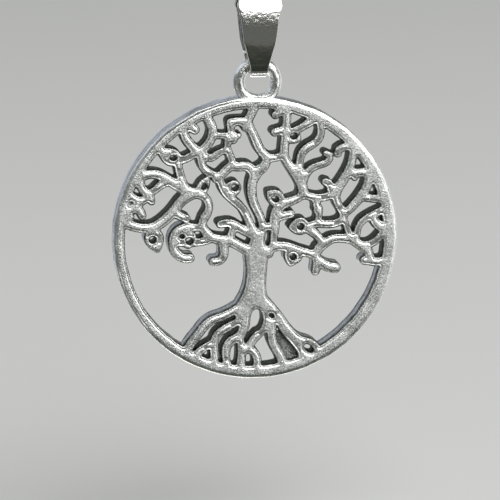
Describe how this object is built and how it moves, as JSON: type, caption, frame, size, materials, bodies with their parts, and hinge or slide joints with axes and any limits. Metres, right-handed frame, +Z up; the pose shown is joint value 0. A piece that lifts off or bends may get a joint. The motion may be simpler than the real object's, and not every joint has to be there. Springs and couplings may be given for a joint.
{
  "type": "tree of life pendant",
  "caption": "Round pierced metal pendant with a tree and its roots inside a frame ring, hung by a cast loop from a folded sheet-metal bail.",
  "frame": {"origin": "inner top of the bail's upper fold, where a cord carries it, midway across the strip", "axes": "+Z up with the pendant hanging straight, the tree's front face towards -Y, +X to the viewer's right and along the cord"},
  "size_m": [0.03, 0.0034, 0.0419],
  "materials": {
    "antique_silver": "antique silver plate on a zinc-alloy casting: sandy cast faces, darkened recesses and worn bright edges",
    "polished_silver": "polished silver-coloured plate on sheet metal"
  },
  "bodies": {
    "bail": {"bail": "polished_silver"},
    "medallion": {"medallion": "antique_silver"}
  },
  "joints": [
    {"name": "medallion_swing", "type": "hinge", "parent": "bail", "child": "medallion", "pos_m": [0, 0, -0.00806], "axis": [1, 0, 0], "range_deg": [-60, 60]}
  ]
}
